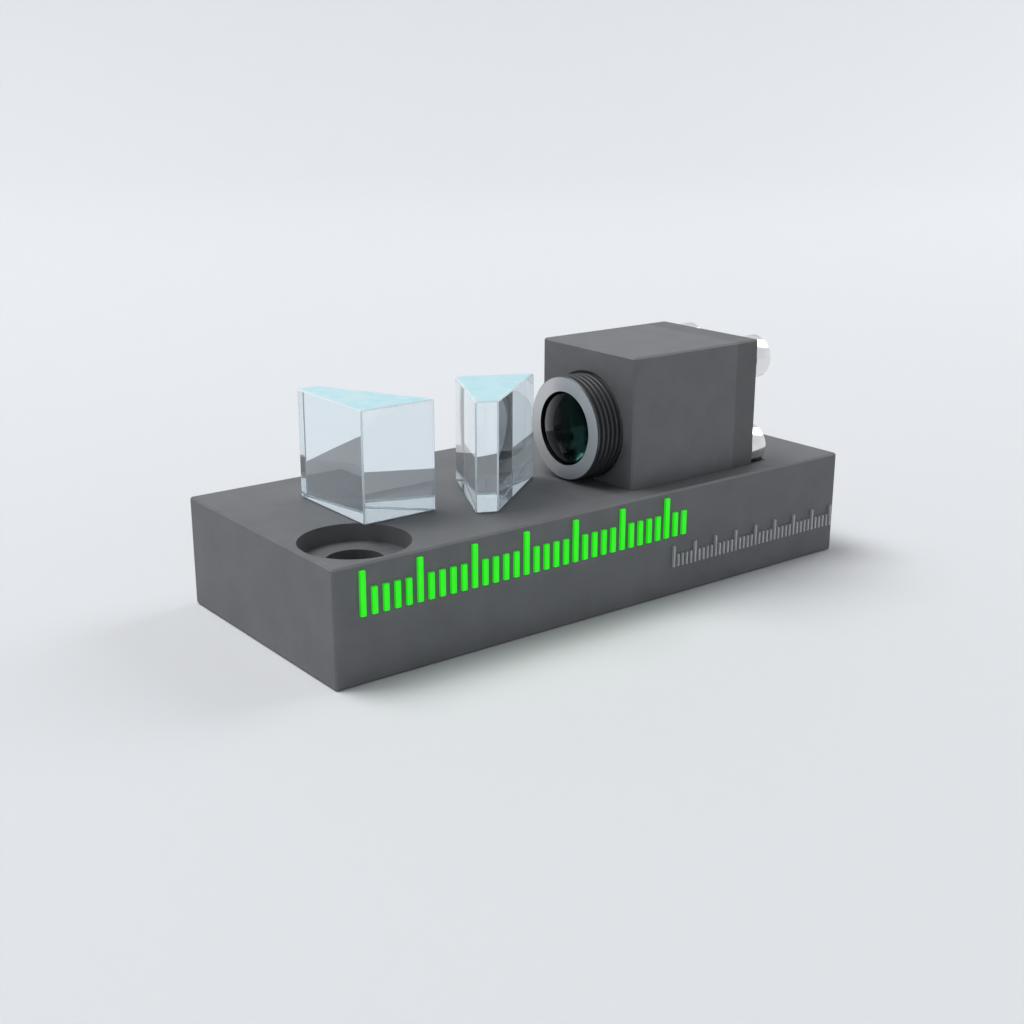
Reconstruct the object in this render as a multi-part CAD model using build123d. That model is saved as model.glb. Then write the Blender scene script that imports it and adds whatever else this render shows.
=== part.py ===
from build123d import *
from math import asin, cos, degrees, radians, sin, sqrt, tan
import os

# Laser diode module: a collimated diode head and a pair of wedge prisms on one base plate.
# X runs along the base towards the laser, so the beam leaves along -X.
# Z is up, and the origin is the centre of the base plate's underside. Millimetres.

# Base plate
base_length = 54.0
base_width = 23.0
base_height = 9.4
edge_break = 0.15              # small chamfer on every machined outer edge
mount_hole_radius = 2.25       # clears an M4 screw
mount_head_radius = 4.35       # counterbore for its head
mount_head_depth = 1.45
mount_inset = 4.8              # hole centre from both sides of its corner

# Head block, a housing closed by a rear plate, let into a shallow pocket of the base
head_rear_margin = 9.05        # rear plate to the end of the base
head_side_margin = 2.1         # block to the front edge of the base
head_width = 12.0
head_height = 12.0
housing_length = 12.0
rear_plate_thickness = 2.6
pocket_depth = 0.7
pocket_corner = 0.5            # left by the cutter
pocket_clearance = 0.03
lead_hole_radius = 2.0
lead_hole_chamfer = 0.25       # keeps its rim from cutting into the wires

# M2 socket head cap screws
screw_radius = 1.0
screw_head_radius = 1.9
screw_head_height = 1.8
screw_edge_break = 0.15
hex_key_size = 1.5             # across flats
hex_key_depth = 0.9
tapped_clearance = 0.02        # between a screw and its tapped hole, radial
through_clearance = 0.1        # between a screw and its through hole, radial
head_clearance = 0.2           # round a screw head in a recess
tap_run_out = 0.5              # tapped hole beyond the screw's tip
drill_point_angle = 118.0      # of the cone at the bottom of a tapped hole
rear_screw_length = 6.0
rear_screw_inset = 1.95        # from the edges of the head block
base_screw_length = 10.0
base_screw_grip = 6.45         # head seat to the pocket's floor
base_screw_inset = 1.95        # from the sides of the head block

# Beam and lens barrel
beam_height = 4.6              # above the base plate's top
thread_radius = 4.5            # M9 x 0.5 focus thread
thread_clearance = 0.02
thread_chamfer = 0.1
bore_chamfer = 0.2             # mouth of the threaded bore
barrel_length = 5.5
barrel_projection = 2.5        # in front of the housing
lens_radius = 3.15
lens_fit = 0.05                # radial room for the cement
lens_seat = 0.45               # width of the shoulder behind the lens
lens_recess = 0.25             # lens edge below the barrel's face
lens_curvature = 6.0           # radius of the convex front surface
lens_thickness = 2.4
lens_index = 1.75

# Barrel spring
spring_wire = 0.35             # side of the square wire
spring_room = 1.45             # compressed length behind the barrel
spring_turns = 2.0
spring_side_clearance = 0.3

# Can-style laser diode, 5.6 mm header
header_radius = 2.8
header_thickness = 1.2
header_fit = 0.05
notch_depth = 0.4
index_notch_width = 1.0
emitter_height = 1.27          # chip facet above the header
can_radius = 1.775
can_height = 2.3
can_wall = 0.15
can_rim_radius = 2.2           # weld flange
can_rim_thickness = 0.25
can_clearance = 0.1
aperture_radius = 0.8
window_radius = 1.35
window_thickness = 0.25
post_width = 1.0
post_thickness = 0.9
submount_width = 0.8
submount_thickness = 0.2
submount_length = 1.0
chip_width = 0.25
chip_thickness = 0.1
chip_length = 0.8
lead_radius = 0.225
lead_circle_radius = 1.0
lead_length = 6.5              # behind the header
lead_tip = 0.35                # live leads, in front of the header
seal_radius = 0.5
sleeve_wall = 1.2

# Wedge prisms of dense flint glass
prism_index = 1.77
prism_wedge_angle = 26.8       # degrees, between the entrance and the exit face
prism_face_width = 9.85        # exit face
prism_thin_side = 1.85
prism_height = 9.15
prism_bevel = 0.12
barrel_to_prism = 4.65         # along the beam, barrel face to the first entrance face
prism_to_prism = 8.9           # along the beam between the two prisms
input_entry_share = 0.62       # where the beam enters, from the thin edge
output_entry_share = 0.32

# Stations along X, from the rear end of the base to the front
head_rear = base_length / 2 - head_rear_margin
seam = head_rear - rear_plate_thickness
head_front = seam - housing_length
barrel_front = head_front - barrel_projection
barrel_rear = barrel_front + barrel_length
web_front = barrel_rear + spring_room

# Beam axis and head block in Y and Z
beam_y = -base_width / 2 + head_side_margin + head_width / 2
beam_z = base_height + beam_height
head_bottom = base_height - pocket_depth
head_middle = head_bottom + head_height / 2

# Lens: the flat back face seats in the barrel, and the diode's chip lies in the focus behind it
lens_sagitta = lens_curvature - sqrt(lens_curvature**2 - lens_radius**2)
lens_vertex = barrel_front + lens_recess - lens_sagitta
lens_back = lens_vertex + lens_thickness
focal_length = lens_curvature / (lens_index - 1)
emitter = lens_back + focal_length - lens_thickness / lens_index
header_front = emitter + emitter_height
header_rear = header_front + header_thickness

# Prisms: the beam leaves each one square to its exit face, which sets the turn of the first
prism_thick_side = prism_thin_side + prism_face_width * tan(radians(prism_wedge_angle))
entry_angle = degrees(asin(prism_index * sin(radians(prism_wedge_angle))))
prism_turn = entry_angle - prism_wedge_angle


def on_beam(shape, x, forward=False):
    """Places a shape whose axis is Z on the beam axis, facing the rear, or the beam's way."""
    turn = -90 if forward else 90
    return Pos(x, beam_y, beam_z) * Rot(0, turn, 0) * shape


def turned(outline):
    """A solid of revolution about Z from a closed outline of (radius, height) points."""
    points = [(radius, 0, height) for radius, height in outline]
    return revolve(make_face(Polyline(*points, close=True)), Axis.Z)


def drill(radius, length):
    """A cylinder that stands on the origin."""
    return extrude(Circle(radius), length)


def tapped_hole(screw_reach):
    """A blind hole from the origin upwards for a screw that reaches in so far, with its drill point."""
    radius = screw_radius + tapped_clearance
    depth = screw_reach + tap_run_out
    point = radius / tan(radians(drill_point_angle / 2))
    return turned([(0, 0), (radius, 0), (radius, depth), (0, depth + point)])


def cap_screw(length):
    """A socket head cap screw, head seat on the origin and shank along -Z."""
    head = drill(screw_head_radius, screw_head_height)
    head = chamfer(head.edges().group_by(Axis.Z)[-1], screw_edge_break)
    socket = extrude(RegularPolygon(hex_key_size / 2, 6, major_radius=False), hex_key_depth)
    head -= Pos(0, 0, screw_head_height - hex_key_depth) * socket
    shank = drill(screw_radius, length)
    shank = chamfer(shank.edges().group_by(Axis.Z)[0], screw_edge_break)
    return head + Pos(0, 0, -length) * shank


def mount_places():
    """Centres of the two mounting holes, in opposite corners of the base."""
    x = base_length / 2 - mount_inset
    y = base_width / 2 - mount_inset
    return [(-x, -y), (x, y)]


def rear_screw_places():
    """Head seats of the rear plate's screws, as (y, z) places on the plate."""
    y = head_width / 2 - rear_screw_inset
    z = head_height / 2 - rear_screw_inset
    return [(beam_y + i * y, head_middle + k * z) for k in (-1, 1) for i in (-1, 1)]


def base_screw_places():
    """Centres of the screws that hold the housing from below."""
    y = head_width / 2 - base_screw_inset
    x = head_front + housing_length / 2
    return [(x, beam_y - y), (x, beam_y + y)]


def head_foot(clearance):
    """The round-cornered lowest part of the head block, which sits in the pocket."""
    length = head_rear - head_front + 2 * clearance
    corner = pocket_corner + clearance
    foot = extrude(RectangleRounded(length, head_width + 2 * clearance, corner), pocket_depth)
    return Pos((head_front + head_rear) / 2, beam_y, head_bottom) * foot


def head_block():
    """Outline that the housing and the rear plate share."""
    length = head_rear - head_front
    upper = Box(length, head_width, head_height - pocket_depth)
    upper = chamfer(upper.edges() - upper.edges().group_by(Axis.Z)[0], edge_break)
    upper = Pos((head_front + head_rear) / 2, beam_y, head_middle + pocket_depth / 2) * upper
    return upper + head_foot(0)


def base_plate():
    """Milled plate with mounting holes, the head's pocket and the screws' recesses."""
    plate = Box(base_length, base_width, base_height)
    plate = Pos(0, 0, base_height / 2) * chamfer(plate.edges(), edge_break)
    plate -= head_foot(pocket_clearance)
    for x, y in mount_places():
        plate -= Pos(x, y, 0) * drill(mount_hole_radius, base_height)
        plate -= Pos(x, y, base_height - mount_head_depth) * drill(mount_head_radius, mount_head_depth)
    seat = head_bottom - base_screw_grip
    for x, y in base_screw_places():
        plate -= Pos(x, y, 0) * drill(screw_radius + through_clearance, base_height)
        plate -= Pos(x, y, 0) * drill(screw_head_radius + head_clearance, seat)
    # The two low screw heads dip below the top of the base, in round cradles.
    cradle = drill(screw_head_radius + head_clearance, screw_head_height + head_clearance)
    for y, z in rear_screw_places()[:2]:
        plate -= Pos(head_rear, y, z) * Rot(0, 90, 0) * cradle
    return plate


def diode_housing():
    """Cube with the threaded barrel bore in front and the header's seat behind."""
    housing = split(head_block(), Plane.YZ.offset(seam), keep=Keep.BOTTOM)
    bore_radius = thread_radius + thread_clearance
    barrel_bore = turned([
        (0, 0),
        (bore_radius + bore_chamfer, 0),
        (bore_radius, bore_chamfer),
        (bore_radius, web_front - head_front),
        (0, web_front - head_front),
    ])
    housing -= on_beam(barrel_bore, head_front)
    housing -= on_beam(drill(can_rim_radius + can_clearance, header_front - web_front), web_front)
    housing -= on_beam(drill(header_radius + header_fit, seam - header_front), header_front)
    rear_hole = tapped_hole(rear_screw_length - rear_plate_thickness)
    for y, z in rear_screw_places():
        housing -= Pos(seam, y, z) * Rot(0, -90, 0) * rear_hole
    base_hole = tapped_hole(base_screw_length - base_screw_grip)
    for x, y in base_screw_places():
        housing -= Pos(x, y, head_bottom) * base_hole
    return housing


def rear_plate():
    """Plate that closes the housing, with the hole that the diode's leads come out of."""
    plate = split(head_block(), Plane.YZ.offset(seam), keep=Keep.TOP)
    for y, z in rear_screw_places():
        through = drill(screw_radius + through_clearance, rear_plate_thickness)
        plate -= Pos(seam, y, z) * Rot(0, 90, 0) * through
    lead_hole = turned([
        (0, 0),
        (lead_hole_radius, 0),
        (lead_hole_radius, rear_plate_thickness - lead_hole_chamfer),
        (lead_hole_radius + lead_hole_chamfer, rear_plate_thickness),
        (0, rear_plate_thickness),
    ])
    return plate - on_beam(lead_hole, seam)


def rear_plate_screws():
    screws = [
        Pos(head_rear, y, z) * Rot(0, 90, 0) * cap_screw(rear_screw_length)
        for y, z in rear_screw_places()
    ]
    return Compound(children=screws)


def housing_screws():
    seat = head_bottom - base_screw_grip
    screws = [
        Pos(x, y, seat) * Rot(180, 0, 0) * cap_screw(base_screw_length)
        for x, y in base_screw_places()
    ]
    return Compound(children=screws)


def lens_barrel():
    """Turned barrel: threaded outside, a lens seat in its face and a clear bore behind."""
    seat_radius = lens_radius + lens_fit
    clear_radius = lens_radius - lens_seat
    seat_depth = lens_back - barrel_front
    barrel = turned([
        (seat_radius, 0),
        (thread_radius - thread_chamfer, 0),
        (thread_radius, thread_chamfer),
        (thread_radius, barrel_length - thread_chamfer),
        (thread_radius - thread_chamfer, barrel_length),
        (clear_radius, barrel_length),
        (clear_radius, seat_depth),
        (seat_radius, seat_depth),
    ])
    return on_beam(barrel, barrel_front)


def collimating_lens():
    """Plano-convex lens, its convex face towards the prisms."""
    slope = asin(lens_radius / lens_curvature) / 2
    halfway = (lens_curvature * sin(slope), 0, lens_curvature * (1 - cos(slope)))
    front = ThreePointArc((0, 0, 0), halfway, (lens_radius, 0, lens_sagitta))
    sides = Polyline(
        (lens_radius, 0, lens_sagitta), (lens_radius, 0, lens_thickness), (0, 0, lens_thickness), (0, 0, 0)
    )
    lens = revolve(make_face([front, sides]), Axis.Z)
    return on_beam(lens, lens_vertex)


def barrel_spring():
    """Short coil of square wire between the barrel and the web of the housing."""
    radius = thread_radius - spring_side_clearance - spring_wire / 2
    height = spring_room - spring_wire
    path = Helix(height / spring_turns, height, radius)
    section = Plane(origin=path @ 0, x_dir=(1, 0, 0), z_dir=path % 0) * Rectangle(spring_wire, spring_wire)
    coil = sweep(section, path, is_frenet=True)
    return on_beam(Pos(0, 0, spring_wire / 2) * coil, barrel_rear)


def lead_places():
    """Leads on the header, as (up, sideways) places: two live ones and the case lead below."""
    return [(0, lead_circle_radius), (0, -lead_circle_radius), (-lead_circle_radius, 0)]


def diode_header():
    """Round steel base with two V notches and a square index notch in its rim."""
    header = drill(header_radius, header_thickness)
    rim = header_radius - notch_depth
    vee = Polyline((0, rim), (notch_depth, header_radius), (-notch_depth, header_radius), close=True)
    for side in (0, 180):
        header -= Rot(0, 0, side) * extrude(make_face(vee), header_thickness)
    index = Box(2 * notch_depth, index_notch_width, 2 * header_thickness)
    header -= Pos(header_radius, 0, 0) * index
    for up, sideways in lead_places()[:2]:
        header -= Pos(up, sideways, 0) * drill(seal_radius, header_thickness)
    return on_beam(Pos(0, 0, -header_thickness) * header, header_front, forward=True)


def diode_heat_post():
    top = -chip_thickness / 2 - submount_thickness
    post = Box(post_thickness, post_width, emitter_height, align=(Align.MAX, Align.CENTER, Align.MIN))
    return on_beam(Pos(top, 0, 0) * post, header_front, forward=True)


def diode_submount():
    carrier = Box(
        submount_thickness, submount_width, submount_length, align=(Align.MAX, Align.CENTER, Align.MAX)
    )
    return on_beam(Pos(-chip_thickness / 2, 0, emitter_height) * carrier, header_front, forward=True)


def diode_chip():
    chip = Box(chip_thickness, chip_width, chip_length, align=(Align.CENTER, Align.CENTER, Align.MAX))
    return on_beam(Pos(0, 0, emitter_height) * chip, header_front, forward=True)


def diode_cap():
    """Drawn can with a weld flange and a round aperture in its top."""
    inside = can_radius - can_wall
    under_top = can_height - can_wall
    can = turned([
        (inside, 0),
        (can_rim_radius, 0),
        (can_rim_radius, can_rim_thickness),
        (can_radius, can_rim_thickness),
        (can_radius, can_height),
        (aperture_radius, can_height),
        (aperture_radius, under_top),
        (inside, under_top),
    ])
    return on_beam(can, header_front, forward=True)


def diode_window():
    window = Pos(0, 0, can_height - can_wall - window_thickness) * drill(window_radius, window_thickness)
    return on_beam(window, header_front, forward=True)


def lead_seal(place):
    """Glass bead between a live lead and the header."""
    up, sideways = place
    bead = drill(seal_radius, header_thickness) - drill(lead_radius, header_thickness)
    return on_beam(Pos(up, sideways, -header_thickness) * bead, header_front, forward=True)


def diode_lead(place, tip):
    """Round lead from its tip, given above the header's front face, to its rear end."""
    up, sideways = place
    length = tip + header_thickness + lead_length
    lead = Pos(up, sideways, tip - length) * drill(lead_radius, length)
    return on_beam(lead, header_front, forward=True)


def clamp_sleeve():
    """Insulating tube that passes the rear plate's clamping force to the header."""
    length = seam - header_rear
    sleeve = drill(header_radius, length) - drill(header_radius - sleeve_wall, length)
    return on_beam(sleeve, header_rear)


def wedge_prism(thin_edge):
    """Right-angled wedge on the base, exit face on X = 0, thin edge towards +Y or -Y (1 or -1)."""
    half = thin_edge * prism_face_width / 2
    outline = Polyline((0, -half), (prism_thick_side, -half), (prism_thin_side, half), (0, half), close=True)
    glass = extrude(make_face(outline), prism_height)
    return chamfer(glass.edges(), prism_bevel)


def entry_point(thin_edge, share):
    """Place on the entrance face, a share of its length from the thin edge, in the prism's own frame."""
    across = prism_thin_side + share * (prism_thick_side - prism_thin_side)
    return Vector(across, thin_edge * prism_face_width * (0.5 - share))


def prism_pair():
    """Both prisms, laid along the beam: it enters the slanted face and leaves square to the other."""
    turn = Rot(0, 0, -prism_turn)
    entry = entry_point(-1, input_entry_share)
    first_hit = Vector(barrel_front - barrel_to_prism, beam_y, base_height)
    first_place = Pos(first_hit) * turn * Pos(-entry)
    leaves = (first_place * Pos(0, entry.Y)).position
    between = Vector(-cos(radians(prism_turn)), sin(radians(prism_turn))) * prism_to_prism
    second_place = Pos(leaves + between) * Pos(-entry_point(1, output_entry_share))
    return first_place * wedge_prism(-1), second_place * wedge_prism(1)


input_prism, output_prism = prism_pair()
anode_place, cathode_place, case_place = lead_places()

parts = {
    "base_plate": base_plate(),
    "diode_housing": diode_housing(),
    "rear_plate": rear_plate(),
    "rear_plate_screws": rear_plate_screws(),
    "housing_screws": housing_screws(),
    "lens_barrel": lens_barrel(),
    "collimating_lens": collimating_lens(),
    "barrel_spring": barrel_spring(),
    "diode_header": diode_header(),
    "diode_heat_post": diode_heat_post(),
    "diode_submount": diode_submount(),
    "diode_chip": diode_chip(),
    "diode_cap": diode_cap(),
    "diode_window": diode_window(),
    "diode_lead_anode": diode_lead(anode_place, lead_tip),
    "diode_lead_cathode": diode_lead(cathode_place, lead_tip),
    "diode_lead_case": diode_lead(case_place, -header_thickness),
    "lead_seal_anode": lead_seal(anode_place),
    "lead_seal_cathode": lead_seal(cathode_place),
    "clamp_sleeve": clamp_sleeve(),
    "input_prism": input_prism,
    "output_prism": output_prism,
}

os.makedirs("parts", exist_ok=True)
for name, shape in parts.items():
    export_step(shape, f"parts/{name}.step")
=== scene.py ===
# %% [markdown]
# # A laser diode module, dressed for the camera
#
# The object is a small optical assembly. A dark anodised base plate carries a cube-shaped head with a
# laser diode inside, and two glass wedges that stretch the beam. The solids come ready made from the
# frame. This script gives them their finishes, and it makes the pieces whose look lies in fine form:
# the threaded lens barrel, the lens, the wedges, the screws, the spring and the raised graduations.
# Everything is in metres and already in its place, so nothing has to be moved afterwards.

# %% Load the frame
from math import asin, cos, pi, radians, sin

import bmesh
import bpy
from mathutils import Matrix, Vector


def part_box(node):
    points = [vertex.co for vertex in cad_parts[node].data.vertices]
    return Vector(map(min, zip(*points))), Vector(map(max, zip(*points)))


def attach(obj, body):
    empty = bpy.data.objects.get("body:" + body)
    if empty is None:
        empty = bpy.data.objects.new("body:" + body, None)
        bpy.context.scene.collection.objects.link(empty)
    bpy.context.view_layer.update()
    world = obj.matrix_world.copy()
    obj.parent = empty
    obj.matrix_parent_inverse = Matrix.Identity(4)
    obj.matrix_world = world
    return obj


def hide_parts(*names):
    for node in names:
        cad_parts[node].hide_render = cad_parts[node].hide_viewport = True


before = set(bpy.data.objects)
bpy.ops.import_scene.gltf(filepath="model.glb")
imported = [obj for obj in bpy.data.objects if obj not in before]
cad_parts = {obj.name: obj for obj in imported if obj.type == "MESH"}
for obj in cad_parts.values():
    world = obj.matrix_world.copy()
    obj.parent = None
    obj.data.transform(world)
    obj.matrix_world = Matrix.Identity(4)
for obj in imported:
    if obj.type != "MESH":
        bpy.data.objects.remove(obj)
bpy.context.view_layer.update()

# %% [markdown]
# ## Sizes
#
# Sizes are written in millimetres, as on a workshop drawing, and one short name turns them to metres.
# They could all be typed in here. But what the frame already knows, such as where the barrel sits, is
# read from the frame's boxes, so this script keeps fitting if the model changes a little.

# %% Where the beam runs
MM = 0.001

barrel_low, barrel_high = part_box("lens_barrel")
beam_y = (barrel_low.y + barrel_high.y) / 2
beam_z = (barrel_low.z + barrel_high.z) / 2
print("beam axis at Y", round(beam_y / MM, 2), "and Z", round(beam_z / MM, 2), "mm")

# %% [markdown]
# ## Helpers for nodes and colours
#
# Materials and shapes are both built from nodes here. Typing out each node, its settings and its links
# takes many lines, so one function does all three. It takes the inputs as a dictionary: a plain value
# is set on the socket, and another node or one of its outputs is linked to it.
#
# A painter writes a colour in sRGB, as a hex number. The renderer adds up light in linear values, so a
# second function turns one into the other.

# %% Node and colour helpers


def add(tree, kind, inputs=(), **settings):
    """Adds a node. An input is given a value, another node's output, or a node for its first output."""
    node = tree.nodes.new(kind)
    for name, value in settings.items():
        setattr(node, name, value)
    for socket, value in dict(inputs).items():
        if isinstance(value, bpy.types.Node):
            value = value.outputs[0]
        if isinstance(value, bpy.types.NodeSocket):
            tree.links.new(value, node.inputs[socket])
        else:
            node.inputs[socket].default_value = value
    return node


def linear(hex_colour):
    """Turns a colour such as #8a8c90 from sRGB to linear red, green, blue and alpha."""
    channels = [int(hex_colour[i:i + 2], 16) / 255 for i in (1, 3, 5)]
    return [c / 12.92 if c <= 0.04045 else ((c + 0.055) / 1.055) ** 2.4 for c in channels] + [1.0]


print("the grey #808080 is", round(linear("#808080")[0], 3), "in linear light")

# %% [markdown]
# ## Starting and ending a material
#
# Every material here begins as an empty tree and ends in the same two nodes: the Principled shader and
# the output. What goes in between is what makes aluminium, glass or enamel. A value that is the same
# all over, such as a metallic share, is set on the shader itself, because other programs that open the
# finished model only read it there.
#
# No real surface has quite one colour, so most finishes share one more helper: a soft mottle between
# two close colours. A painted image could do that too, but noise needs no file and has no seams.

# %% Material helpers
MOTTLE_FROM, MOTTLE_TO = 0.35, 0.65     # the noise seldom leaves this range


def new_material(name):
    """An empty material and its node tree."""
    material = bpy.data.materials.new(name)
    material.use_nodes = True
    material.node_tree.nodes.clear()
    return material, material.node_tree


def end_material(tree, inputs):
    """Ends a material with its shader, which gets the given inputs."""
    shader = add(tree, "ShaderNodeBsdfPrincipled", inputs)
    add(tree, "ShaderNodeOutputMaterial", {"Surface": shader})


def mottled(tree, place, light, dark, patch_mm):
    """A soft mottle between two colours, with patches of about the given size."""
    noise = add(tree, "ShaderNodeTexNoise", {
        "Vector": place, "Scale": 1 / (patch_mm * MM), "Detail": 3.0, "Roughness": 0.6,
    })
    ramp = add(tree, "ShaderNodeValToRGB", {"Fac": noise})
    ramp.color_ramp.elements[0].position = MOTTLE_FROM
    ramp.color_ramp.elements[0].color = linear(dark)
    ramp.color_ramp.elements[1].position = MOTTLE_TO
    ramp.color_ramp.elements[1].color = linear(light)
    return ramp


print("patches 3 mm wide need a noise scale of", round(1 / (3 * MM)))

# %% [markdown]
# ## Anodised aluminium
#
# Base, housing and rear plate are milled from aluminium, bead blasted and anodised dark grey. The
# oxide layer is porous and dyed, so the eye sees a matte, slightly chalky grey with only a faint metal
# sheen, and no brush lines. Bare aluminium would have a metallic value of 1, and the dyed layer hides
# three quarters of that.
#
# One even grey would read as plastic, so two noises break it up. A fine one is the blasted skin, as
# bump and as a small change of roughness. A broad faint one is the dye, which is never quite even.
# Real blasting leaves pits of about 0.05 mm; here they are 0.12 mm, so that they show at all. The rear
# plate comes from another batch and took the dye a shade darker, which shows the seam beside it.

# %% Anodised aluminium


def blasted_aluminium(name, light, dark, grit_mm=0.12, roughness=(0.52, 0.64), metallic=0.25):
    """Anodised aluminium with a blasted skin, in two close greys."""
    material, tree = new_material(name)
    place = add(tree, "ShaderNodeTexCoord").outputs["Object"]
    grit = add(tree, "ShaderNodeTexNoise", {"Vector": place, "Scale": 1 / (grit_mm * MM), "Detail": 2.0})
    end_material(tree, {
        "Base Color": mottled(tree, place, light, dark, patch_mm=3.0),
        "Metallic": metallic,
        "Roughness": add(tree, "ShaderNodeMapRange", {
            "Value": grit, "To Min": roughness[0], "To Max": roughness[1],
        }),
        "Normal": add(tree, "ShaderNodeBump", {"Height": grit, "Strength": 0.35, "Distance": 0.02 * MM}),
    })
    return material


dark_anodised = blasted_aluminium("anodised_aluminium_dark_grey", "#6c6d6f", "#666769")
plate_anodised = blasted_aluminium("anodised_aluminium_plate", "#616263", "#5c5d5e")
print("made", dark_anodised.name, "and", plate_anodised.name)

# %% [markdown]
# ## Polished, drawn and plated metals
#
# The cap screws are polished stainless steel: nearly a mirror, with the faintest streaks left by the
# polishing wheel. The spring is drawn steel wire, duller and greyer. The diode's header and leads are
# gold plated, and its can is nickel plated. To the renderer they differ in colour and roughness only,
# so one recipe makes all four. A single roughness would do, but a fine noise in it keeps the
# reflections from being perfect.

# %% Plain metals


def plain_metal(name, colour, roughness, spread=0.25, streak_mm=0.25):
    """Bare metal whose roughness varies by the given share."""
    material, tree = new_material(name)
    place = add(tree, "ShaderNodeTexCoord").outputs["Object"]
    streaks = add(tree, "ShaderNodeTexNoise", {
        "Vector": place, "Scale": 1 / (streak_mm * MM), "Detail": 3.0,
    })
    end_material(tree, {
        "Base Color": linear(colour),
        "Metallic": 1.0,
        "Roughness": add(tree, "ShaderNodeMapRange", {
            "Value": streaks, "To Min": (1 - spread) * roughness, "To Max": (1 + spread) * roughness,
        }),
    })
    return material


bright_steel = plain_metal("stainless_steel_polished", "#ececea", 0.14)
drawn_steel = plain_metal("spring_steel_drawn", "#8f8f8c", 0.35)
gold_plate = plain_metal("gold_plate_on_steel", "#e3bd6a", 0.25)
nickel_plate = plain_metal("nickel_plate_on_can", "#c9c6bf", 0.3)
print("made", [metal.name for metal in (bright_steel, drawn_steel, gold_plate, nickel_plate)])

# %% [markdown]
# ## Turned and blackened metal
#
# The lens barrel comes off a lathe. Its end face was turned once more after anodising, so it is bare
# satin metal, brighter than the blasted blocks, with faint rings where the tool fed across. A Wave
# Texture can draw rings too, but its scale is no plain length. Here the rings are a sine wave of the
# distance from the beam axis, used as bump, so their width is typed in millimetres. A real feed mark
# is about 0.05 mm; it is drawn 0.14 mm wide so that it can be seen.
#
# The thread keeps its dark anodised skin, which also wears well against the housing. Metal that was
# cut and not blasted stays smoother, so it shines a little more. Inside, such barrels are blackened, so
# that no stray light bounces back to the diode.

# %% Turned metal


def turned_metal(name, colour, roughness, ring_mm, ring_depth_mm=0.004):
    """Bare metal with rings round the beam axis."""
    material, tree = new_material(name)
    place = add(tree, "ShaderNodeTexCoord").outputs["Object"]
    centred = add(tree, "ShaderNodeMapping", {"Vector": place, "Location": (0, -beam_y, -beam_z)})
    across = add(tree, "ShaderNodeVectorMath", {0: centred, 1: (0, 1, 1)}, operation="MULTIPLY")
    distance = add(tree, "ShaderNodeVectorMath", {0: across}, operation="LENGTH").outputs["Value"]
    phase = add(tree, "ShaderNodeMath", {0: distance, 1: 2 * pi / (ring_mm * MM)}, operation="MULTIPLY")
    rings = add(tree, "ShaderNodeMath", {0: phase}, operation="SINE")
    end_material(tree, {
        "Base Color": linear(colour),
        "Metallic": 1.0,
        "Roughness": roughness,
        "Normal": add(tree, "ShaderNodeBump", {
            "Height": rings, "Strength": 0.5, "Distance": ring_depth_mm * MM,
        }),
    })
    return material


satin_turned = turned_metal("turned_aluminium_satin", "#cdcdce", 0.4, ring_mm=0.14)
print("made", satin_turned.name)

# %% Thread and blackened bore


def blackened(name):
    """Metal blackened against stray light."""
    material, tree = new_material(name)
    place = add(tree, "ShaderNodeTexCoord").outputs["Object"]
    end_material(tree, {
        "Base Color": mottled(tree, place, "#141516", "#0c0d0e", patch_mm=0.4),
        "Roughness": 0.55,
    })
    return material


dark_thread = blasted_aluminium(
    "anodised_aluminium_thread", "#4c4d4f", "#474849", grit_mm=0.06, roughness=(0.34, 0.44), metallic=0.6
)
black_bore = blackened("aluminium_blackened_bore")
print("made", dark_thread.name, "and", black_bore.name)

# %% [markdown]
# ## Glass
#
# The wedges are polished dense flint glass. It bends light far more than window glass, with an index
# of about 1.77, and that is why its inner faces shine like mirrors. The upper ends, which no light has
# to pass, are left finely ground: they are frosted, and their pale blue is a painted reflection.
# The broken edges are ground too, in a paler tone, because so little glass lies behind them.
#
# Real glass has no pattern, so a polished face gets no texture: index, tint and transmission make it.
# A ground face scatters most of the light in its skin, so it takes a mottle and a fine bump.
#
# The lens has an anti-reflection coating and sits in a black bore, so the eye sees it nearly black,
# with a dark green cast where light turns round inside it. Layers of coating could be computed colour
# by colour. Here the glass is simply coloured dark green: the green gives the cast, and the darkness is
# painted shade, for the dark that the bore lends the lens. A dark specular tint takes away most of the
# reflection in front.

# %% Glass


def polished_glass(name, colour, index, roughness=0.0, reflection="#ffffff"):
    """Glass of one colour, without a pattern."""
    material, tree = new_material(name)
    end_material(tree, {
        "Base Color": linear(colour),
        "Roughness": roughness,
        "IOR": index,
        "Transmission Weight": 1.0,
        "Specular Tint": linear(reflection),
    })
    return material


def ground_glass(name, light, dark, index, grain_mm=0.08):
    """A frosted face: most of the light scatters in the ground skin, the rest goes through."""
    material, tree = new_material(name)
    place = add(tree, "ShaderNodeTexCoord").outputs["Object"]
    grain = add(tree, "ShaderNodeTexNoise", {
        "Vector": place, "Scale": 1 / (grain_mm * MM), "Detail": 2.0,
    })
    end_material(tree, {
        "Base Color": mottled(tree, place, light, dark, patch_mm=1.2),
        "Roughness": 0.45,
        "IOR": index,
        "Transmission Weight": 0.2,
        "Normal": add(tree, "ShaderNodeBump", {"Height": grain, "Strength": 0.3, "Distance": 0.01 * MM}),
    })
    return material


FLINT_INDEX = 1.77

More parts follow.
